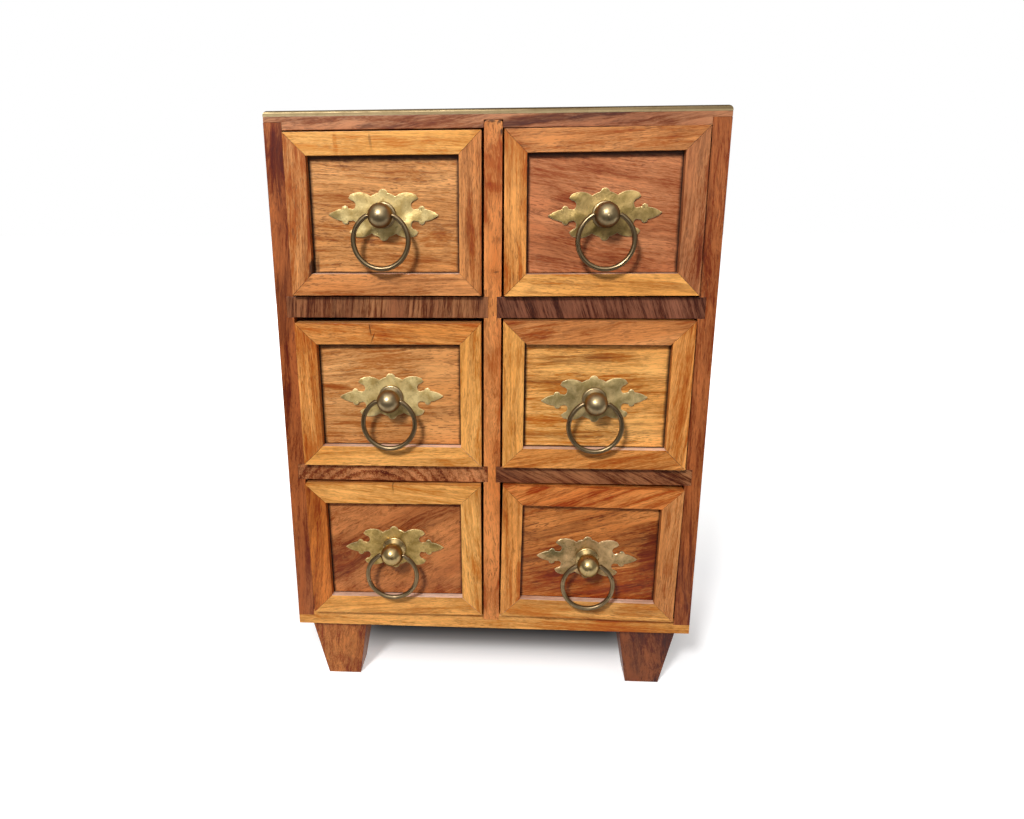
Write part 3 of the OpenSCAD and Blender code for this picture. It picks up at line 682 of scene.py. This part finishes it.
# tilt is how far the drawer's front is askew, in degrees, right end up. hang is how many mm wider its top
# strip is than the others, so that it ends in small notches.
# A drawer's panel is its finish, grain angle, heart and extra stain. Its strips are finish, grain angle and
# extra stain, in the order bottom, left, right, top. patches are dark places on its brass plate.
drawers = {
    "top_left": {
        "tilt": 0, "panel": ("honeyPanel", -3, (0.05, 0.02), -0.05), "plate": "palePlate", "knob": "knob",
        "panelMarks": [(-32, 289, 10, 6, 20, 0.4), (-24, 275, 8, 5, 10, -0.35), (-88, 300, 14, 24, 0, 0.12)],
        "panelCuts": [(-99.3, 272, 1.2, 9, -2, 0.6)],
        "strips": [("tan", 3, -0.2), ("tan", 88, 0.05), ("tan", 90, -0.15), ("honey", -2, 0)],
        "stripMarks": {1: [(-107, 270, 5, 16, 0, -0.2)], 2: [(-12.5, 291, 2.4, 34, 2, 0.6)],
                       3: [(-85, 339, 1.6, 7, 5, 0.4), (-30, 338, 20, 3, 0, 0.2)]},
        "stripCuts": {1: [(-101.5, 272, 2.2, 9, -6, 0.9)], 3: [(-66, 340, 0.9, 4.5, 8, 0.4)]},
        "patches": [(-88, 301, 5, 3, 0, 0.5), (-46, 292, 5, 4, 0, 0.3)]},
    "top_right": {
        "tilt": 0.3, "panel": ("clayPanel", -10, (0.07, 0.03), -0.05), "plate": "olivePlate", "knob": "knob",
        "panelMarks": [(30, 278, 12, 5, -10, 0.2), (82, 300, 12, 4, -10, -0.15),
                       (24, 302, 12, 22, 0, -0.25), (60, 324, 46, 5, 0, 0.2)],
        "strips": [("golden", -4, -0.25), ("orange", 91, 0), ("brown", 87, 0), ("tan", 3, -0.05)],
        "stripMarks": {0: [(16, 262, 6, 3, 20, -0.4)],
                       3: [(30, 339, 6, 3, 0, -0.6), (85, 338, 16, 3, 4, 0.25)]},
        "patches": [(48, 293, 6, 4, 0, 0.4)]},
    "middle_left": {
        "tilt": 0.2, "panel": ("honeyPanel", 2, (0.04, 0.04), -0.15), "plate": "palePlate", "knob": "knob",
        "panelMarks": [(-94, 203, 12, 1.8, -6, 0.8), (-80, 180, 18, 2.2, -3, 0.6),
                       (-34, 190, 14, 1.6, -4, 0.3), (-28, 177, 16, 13, 0, -0.75),
                       (-62, 224, 22, 2, -6, 0.2), (-30, 208, 14, 20, 0, -0.4)],
        "strips": [("golden", 3, -0.25), ("orange", 92, 0.1), ("golden", 88, -0.15), ("orange", -5, 0.05)],
        "stripMarks": {3: [(-30, 237, 20, 4, 0, -0.3), (-66, 236, 10, 4, -20, 0.2)],
                       0: [(-30, 159, 10, 3, -20, 0.4)]},
        "stripCuts": {3: [(-70, 238, 0.5, 4.5, 8, 0.7), (-68.4, 233.5, 0.5, 3.5, -22, 0.7)]},
        "patches": [(-90, 197, 4, 3, 0, 0.6)]},
    "middle_right": {
        "tilt": 0, "panel": ("goldPanel", 2, (0.05, 0.03), 0.0), "plate": "greyPlate", "knob": "knob",
        "hang": 1.3,
        "panelMarks": [(68, 222, 17, 3.2, 0, 0.7), (30, 183, 16, 3.5, -5, 0.5),
                       (90, 180, 14, 13, 0, -0.55), (96, 206, 12, 22, 0, -0.3)],
        "strips": [("orange", 12, -0.1), ("golden", 90, -0.1), ("orange", 84, -0.1), ("tan", 8, 0)],
        "stripMarks": {1: [(12, 190, 5, 14, 0, 0.2)], 3: [(28, 237, 12, 5, 25, 0.5)],
                       0: [(70, 160, 26, 3, 14, 0.5)]},
        "patches": [(45, 198, 7, 6, 0, 0.3)]},
    "bottom_left": {
        "tilt": 0.5, "panel": ("burlPanel", 30, (0.02, 0.03), 0.0), "plate": "goldPlate",
        "knob": "brightKnob",
        "panelMarks": [(-27, 90, 14, 20, 0, -0.75), (-92, 84, 8, 14, 30, 0.2),
                       (-60, 130, 30, 5, 0, 0.15)],
        "strips": [("golden", 5, -0.2), ("amber", 84, -0.1), ("golden", 96, -0.15), ("golden", -6, 0.05)],
        "stripMarks": {2: [(-12, 92, 3, 14, 20, 0.35)]},
        "stripCuts": {3: [(-60, 142, 0.6, 4, 4, 0.5)]},
        "patches": [(-88, 103, 7, 4, 0, 0.6), (-36, 104, 8, 4, 0, 0.45)]},
    "bottom_right": {
        "tilt": -0.7, "panel": ("boldPanel", 14, (0.05, 0.045), 0.0), "plate": "pinkPlate",
        "knob": "brightKnob",
        "panelMarks": [(60, 122, 50, 14, 8, -0.45), (60, 78, 52, 17, -4, 0.7),
                       (100, 94, 12, 26, 0, 0.7)],
        "panelCuts": [(98, 92, 15, 27, 0, 0.2)],
        "strips": [("golden", -3, 0.05), ("orange", 90, -0.1), ("tan", 88, -0.25), ("flamed", 20, 0.14)],
        "stripMarks": {3: [(30, 143, 14, 5, 30, 0.6), (90, 141, 16, 4, 8, -0.4)],
                       1: [(12, 82, 2, 20, 0, 0.3)], 0: [(95, 63, 22, 5, 0, 0.35)]},
        "patches": [(38, 101, 9, 6, 0, 0.7), (80, 101, 2, 2, 0, 0.8)]},
}
drawerParts = {
    "moulding": 0.3,  # mm of rounding on the arrises of the strips, the front and the tray
    "front": 0.25,
    "tray": 0.4,
    "strip": 12.4,  # mm from the moulding's outside to where the painted shade in its recess starts
    "lip": 0.8,  # mm of a strip's lower edge that hangs lower
    "bend": 0.01,
    "burlBend": 0.03,
    "sideWidth": 20,  # mm: a tray part wider than this is its back
    "sheenLedgeFacing": 0.7,  # the normal's z from which a face of the bottom strip is its ledge, which gets a pale painted sheen
    "heart": (0.03, 0.015),  # metres, of the strips, and how much further off it lies on each next one
    "heartStep": 0.01,
}


def addFront(name, look, number):
    finish, grain, heart, stain = look["panel"]
    mouldingLow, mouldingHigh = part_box(name + "_moulding")
    half = (mouldingHigh - mouldingLow) / 2
    # The panel's painted recess shade lies inside this rectangle
    recess = ((mouldingLow + mouldingHigh) / 2, half.x - drawerParts["strip"] * mm,
              half.z - drawerParts["strip"] * mm, look["tilt"])
    mesh = cadCopy(name + "_front")
    easeEdges(mesh, drawerParts["front"] * mm)
    wood = woodMaterial(name + "_panel_wood", finish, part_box(name + "_front"), grain,
                        bend=drawerParts["burlBend" if finish == "burlPanel" else "bend"], heart=heart,
                        seed=seeds["panels"] + number, stain=stain, marks=look.get("panelMarks", ()),
                        cuts=look.get("panelCuts", ()), recess=recess)
    makePiece(name + "_panel", mesh, [wood], name + "_drawer", "panel_wood", name + "_front")


def addMoulding(name, look, number):
    mesh = cadCopy(name + "_moulding")
    easeEdges(mesh, drawerParts["moulding"] * mm, mitred=True)
    woods = []
    middle = sum(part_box(name + "_moulding"), Vector()) / 2

    def order(group):
        # Bottom, left, right, top
        low, high = boxOf(group)
        across = high.x - low.x > high.z - low.z
        return (1 if not across else 0 if low.z < middle.z else 2, low.x)

    for i, (group, strip) in enumerate(zip(sorted(islands(mesh), key=order), look["strips"])):
        finish, grain, stain = strip
        low, high = boxOf(group)
        for face in group:
            upper = face.calc_center_median().z > (low.z + high.z) / 2
            sheenLedge = i == 0 and upper and face.normal.z > drawerParts["sheenLedgeFacing"]
            face.material_index = 4 if sheenLedge else i
        if i == 3 and "hang" in look:
            lipTop = low.z + drawerParts["lip"] * mm
            for vert in {vert for face in group for vert in face.verts if vert.co.z < lipTop}:
                vert.co.z -= look["hang"] * mm
                vert.co.x += math.copysign(look["hang"] * mm, middle.x - vert.co.x)
        away, over = drawerParts["heart"]
        woods.append(woodMaterial(f"{name}_strip_wood_{i + 1}", finish, (low, high), grain,
                                  heart=(away + drawerParts["heartStep"] * i, over),
                                  seed=seeds["strips"] + 10 * number + i,
                                  stain=stain, marks=look.get("stripMarks", {}).get(i, ()),
                                  cuts=look.get("stripCuts", {}).get(i, ())))
    # The ledge faces get pale wood as a painted sheen
    woods.append(woodMaterial(name + "_sheen_ledge_wood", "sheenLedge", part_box(name + "_moulding"), 0, seed=number))
    makePiece(name + "_strips", mesh, woods, name + "_drawer", "moulding_wood", name + "_moulding")


def addTray(name, number):
    mesh = cadCopy(name + "_tray")
    easeEdges(mesh, drawerParts["tray"] * mm)
    woods = []
    for i, group in enumerate(sorted(islands(mesh), key=lambda g: boxOf(g)[0].x)):
        for face in group:
            face.material_index = i
        back = boxOf(group)[1].x - boxOf(group)[0].x > drawerParts["sideWidth"] * mm
        woods.append(woodMaterial(f"{name}_tray_wood_{i + 1}", "plain", boxOf(group), 1 if back else None,
                                  seed=seeds["trays"] + 10 * number + i))
    makePiece(name + "_box", mesh, woods, name + "_drawer", "plain_wood", name + "_tray")
    base = cadCopy(name + "_base")
    wood = woodMaterial(name + "_base_wood", "plain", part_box(name + "_base"), 2, heart=(0.1, 0.02),
                        seed=seeds["bottoms"] + number)
    makePiece(name + "_bottom", base, [wood], name + "_drawer", "plain_wood", name + "_base")


for number, (name, look) in enumerate(drawers.items()):
    addFront(name, look, number)
    addMoulding(name, look, number)
    addTray(name, number)
print("drawers done")


pullParts = {
    "rim": 0.3,  # mm: width and depth of the plate's filed rim
    "rimDrop": 0.22,
    "rimDepth": 0.1,  # mm behind the front within which a wall's points are the rim's
    "fixingEdge": 0.12,  # mm of rounding on the small fixings
    "ball": 6.35,  # mm: the ball's radius in the CAD
    "ballReach": 1.01,  # what lies within this many radii of its middle is the ball
    "ballBack": 4,  # mm behind the ball's middle to which it is made fuller
    "fuller": 1.07,  # how much fuller, with its front where it was
    "shift": 0.05,  # metres by which the brass's pattern moves on from pull to pull
}


def addPull(name, look, number):
    body = name + "_drawer"
    shift = pullParts["shift"] * number
    plate = cadCopy(name + "_plate", whole=False)
    front = [face for face in plate.faces if face.normal.y < -0.99]
    bmesh.ops.inset_region(plate, faces=front, thickness=pullParts["rim"] * mm, use_even_offset=True,
                           use_boundary=True)
    plate.normal_update()
    walls = {vert for face in plate.faces if abs(face.normal.y) < 0.1 for vert in face.verts}
    frontY = min(vert.co.y for vert in plate.verts)
    for vert in walls:
        if vert.co.y < frontY + pullParts["rimDepth"] * mm:
            vert.co.y += pullParts["rimDrop"] * mm
    brass = brassMaterial(name + "_plate_brass", look["plate"], shift, look.get("patches", ()))
    makePiece(name + "_fretted_plate", plate, [brass], body, "plate_brass", name + "_plate")
    fixings = cadCopy(name + "_fixings")
    easeEdges(fixings, pullParts["fixingEdge"] * mm, sharpAngle=60)
    makePiece(name + "_pins_and_nut", fixings, [brass], body, "plate_brass", name + "_fixings")
    turned = cadCopy(name + "_knob")
    low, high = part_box(name + "_knob")
    front = Vector(((low.x + high.x) / 2, low.y, (low.z + high.z) / 2))
    middle = front + Vector((0, pullParts["ball"] * mm, 0))
    for vert in turned.verts:
        onBall = (vert.co - middle).length < pullParts["ballReach"] * pullParts["ball"] * mm
        if onBall and vert.co.y < middle.y + pullParts["ballBack"] * mm:
            vert.co = front + (vert.co - front) * pullParts["fuller"]
    brass = brassMaterial(name + "_knob_brass", look["knob"], shift)
    makePiece(name + "_turned_knob", turned, [brass], body, "knob_brass", name + "_knob", smoothAngle=35,
              flats=False)
    wire = cadCopy(name + "_ring")
    brass = brassMaterial(name + "_ring_brass", "ring", shift)
    makePiece(name + "_wire_ring", wire, [brass], name + "_ring_pull", "ring_brass", name + "_ring",
              smoothAngle=50, flats=False)


for number, (name, look) in enumerate(drawers.items()):
    addPull(name, look, number)
print("pulls done")


studio = {
    "floorSize": 12.0,
    "floorGrey": 0.35,  # what the floor's light on the object is worked out with
    "glowNear": 0.2,  # metres from the middle at which the floor's glow starts to grow for the camera
    "glowFar": 0.6,
    "glow": (0.5, 1.0),
    "shadeFront": (0.018, 0.075),  # metres in from the chest's front where the floor darkens, and is dark
    "shadeSide": (-0.035, 0.045),  # the same for its sides and back
    "footShadows": [(-0.088, 0.022), (0.093, 0.022)],  # the middles of the soft painted shadows at the front feet
    "footShadow": (0.05, 0.012, 0.5),  # metres from there at which a painted foot shadow starts and is full, and its strength
    "shadeLeft": 0.03,  # what is left of the floor's light where it is darkest
    "worldLight": 0.2,
    "keyPlace": (-0.3, -1.12, 0.95),
    "keySize": 0.2,
    "keyPower": 14.2,
    "fillPlace": (1.2, -1.5, 0.6),
    "fillSize": 1.4,
    "fillPower": 3.5,
    "rearPlace": (-0.7, 1.6, 0.9),
    "rearSize": 1.6,
    "rearPower": 14,
    "aim": (0, 0, 0.18),
    "cardColour": (1, 0.93, 0.85, 1),
}
# Cards round the camera, seen in reflections alone: middle, size across and along, turn, brightness
cards = {
    "floor_card": ((0, -0.86, 0.002), (2.4, 1.2), (0, 0, 0), 0.12),
    "front_card": ((0, -1.45, 0.2), (2.4, 0.5), (90, 0, 0), 0.25),
    "left_card": ((-0.95, -0.4, 0.7), (1.4, 2.0), (0, 90, 0), 0.3),
    "right_card": ((0.95, -0.4, 0.7), (1.4, 2.0), (0, 90, 0), 0.3),
    "back_card": ((0, 0.85, 1.2), (2.4, 1.7), (0, 0, 0), 0.25),
    "soft_card": ((-0.1, -1.0, 1.35), (1.0, 0.9), (45, 0, 0), 2.2),
}


def addGrid(name, size, place=(0, 0, 0), turn=(0, 0, 0)):
    mesh = bmesh.new()
    bmesh.ops.create_grid(mesh, x_segments=1, y_segments=1, size=0.5)
    bmesh.ops.scale(mesh, vec=(size[0], size[1], 1), verts=mesh.verts)
    data = bpy.data.meshes.new(name)
    mesh.to_mesh(data)
    mesh.free()
    grid = bpy.data.objects.new(name, data)
    grid.location = place
    grid.rotation_euler = [math.radians(angle) for angle in turn]
    bpy.context.scene.collection.objects.link(grid)
    return grid


# Painted shadow on the floor, under the chest and round its front feet
def underChest(tree, place):
    # Black under the chest, and white from its edges outwards, as the floor shows in the photo
    low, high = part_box("bottom_board")
    split = addNode(tree, "SeparateXYZ", {0: place}).outputs
    total = None
    aside = calc(tree, "ABSOLUTE", split["X"])
    for reach, span in ((calc(tree, "SUBTRACT", high.x, aside), studio["shadeSide"]),
                        (calc(tree, "SUBTRACT", split["Y"], low.y), studio["shadeFront"]),
                        (calc(tree, "SUBTRACT", high.y, split["Y"]), studio["shadeSide"])):
        share = addNode(tree, "MapRange", {"Value": reach, "From Min": span[0], "From Max": span[1]},
                        interpolation_type="SMOOTHSTEP").outputs["Result"]
        total = share if total is None else calc(tree, "MULTIPLY", total, share)
    for x, y in studio["footShadows"]:
        start, full, strength = studio["footShadow"]
        away = addNode(tree, "VectorMath", {0: place, 1: (x, y, 0)}, operation="DISTANCE").outputs["Value"]
        span = {"Value": away, "From Min": start, "From Max": full, "To Max": strength}
        share = addNode(tree, "MapRange", span, interpolation_type="SMOOTHSTEP").outputs["Result"]
        total = calc(tree, "MAXIMUM", total, share)
    return spread(tree, total, 0.0, 1.0, 1.0, studio["shadeLeft"])


def addFloor():
    floor = addGrid("floor", (studio["floorSize"], studio["floorSize"]))
    material, tree = newMaterial("floor_white")
    seen = seenRay(tree)
    grey = studio["floorGrey"]
    plain = addNode(tree, "BsdfDiffuse", {"Color": (grey, grey, grey, 1)}).outputs[0]
    place = addNode(tree, "TexCoord").outputs["Object"]
    away = addNode(tree, "VectorMath", {0: place}, operation="LENGTH").outputs["Value"]
    strength = spread(tree, away, studio["glowNear"], studio["glowFar"], *studio["glow"])
    under = underChest(tree, place)
    strength = calc(tree, "MULTIPLY", strength, under)
    shaded = blendColour(tree, under, (0, 0, 0, 1), (1, 1, 1, 1))
    white = addNode(tree, "BsdfDiffuse", {"Color": shaded}).outputs[0]
    glow = addNode(tree, "Emission", {"Strength": strength}).outputs[0]
    lifted = addNode(tree, "AddShader", {0: white, 1: glow}).outputs[0]
    mixed = addNode(tree, "MixShader", {0: seen, 1: plain, 2: lifted}).outputs[0]
    tree.links.new(mixed, addNode(tree, "OutputMaterial").inputs[0])
    floor.data.materials.append(material)


def addCards():
    for name, (place, size, turn, brightness) in cards.items():
        card = addGrid(name, size, place, turn)
        card.visible_camera = False
        card.visible_diffuse = False
        card.visible_transmission = False
        card.visible_shadow = False
        material, tree = newMaterial(name)
        glow = addNode(tree, "Emission", {"Color": studio["cardColour"], "Strength": brightness}).outputs[0]
        tree.links.new(glow, addNode(tree, "OutputMaterial").inputs[0])
        card.data.materials.append(material)


def seenRay(tree):
    rays = addNode(tree, "LightPath").outputs
    seen = calc(tree, "MAXIMUM", rays["Is Camera Ray"], rays["Is Glossy Ray"])
    return calc(tree, "MAXIMUM", seen, rays["Is Transmission Ray"])


def addWorld():
    world = bpy.data.worlds.new("studio")
    bpy.context.scene.world = world
    world.use_nodes = True
    tree = world.node_tree
    tree.nodes.clear()
    strength = spread(tree, seenRay(tree), 0.0, 1.0, studio["worldLight"], 1.0)
    sky = addNode(tree, "Background", {"Color": (1, 1, 1, 1), "Strength": strength}).outputs[0]
    tree.links.new(sky, addNode(tree, "OutputWorld").inputs[0])


def addLamp(name, place, size, power):
    lamp = bpy.data.lights.new(name, "AREA")
    lamp.shape = "DISK"
    lamp.size = size
    lamp.energy = power
    holder = bpy.data.objects.new(name, lamp)
    holder.location = place
    holder.rotation_euler = (Vector(studio["aim"]) - Vector(place)).to_track_quat("-Z", "Y").to_euler()
    bpy.context.scene.collection.objects.link(holder)


addFloor()
addCards()
addWorld()
for lamp in ("key", "fill", "rear"):
    addLamp(lamp, studio[lamp + "Place"], studio[lamp + "Size"], studio[lamp + "Power"])
bpy.context.scene.view_settings.view_transform = "Standard"
print("stage done")
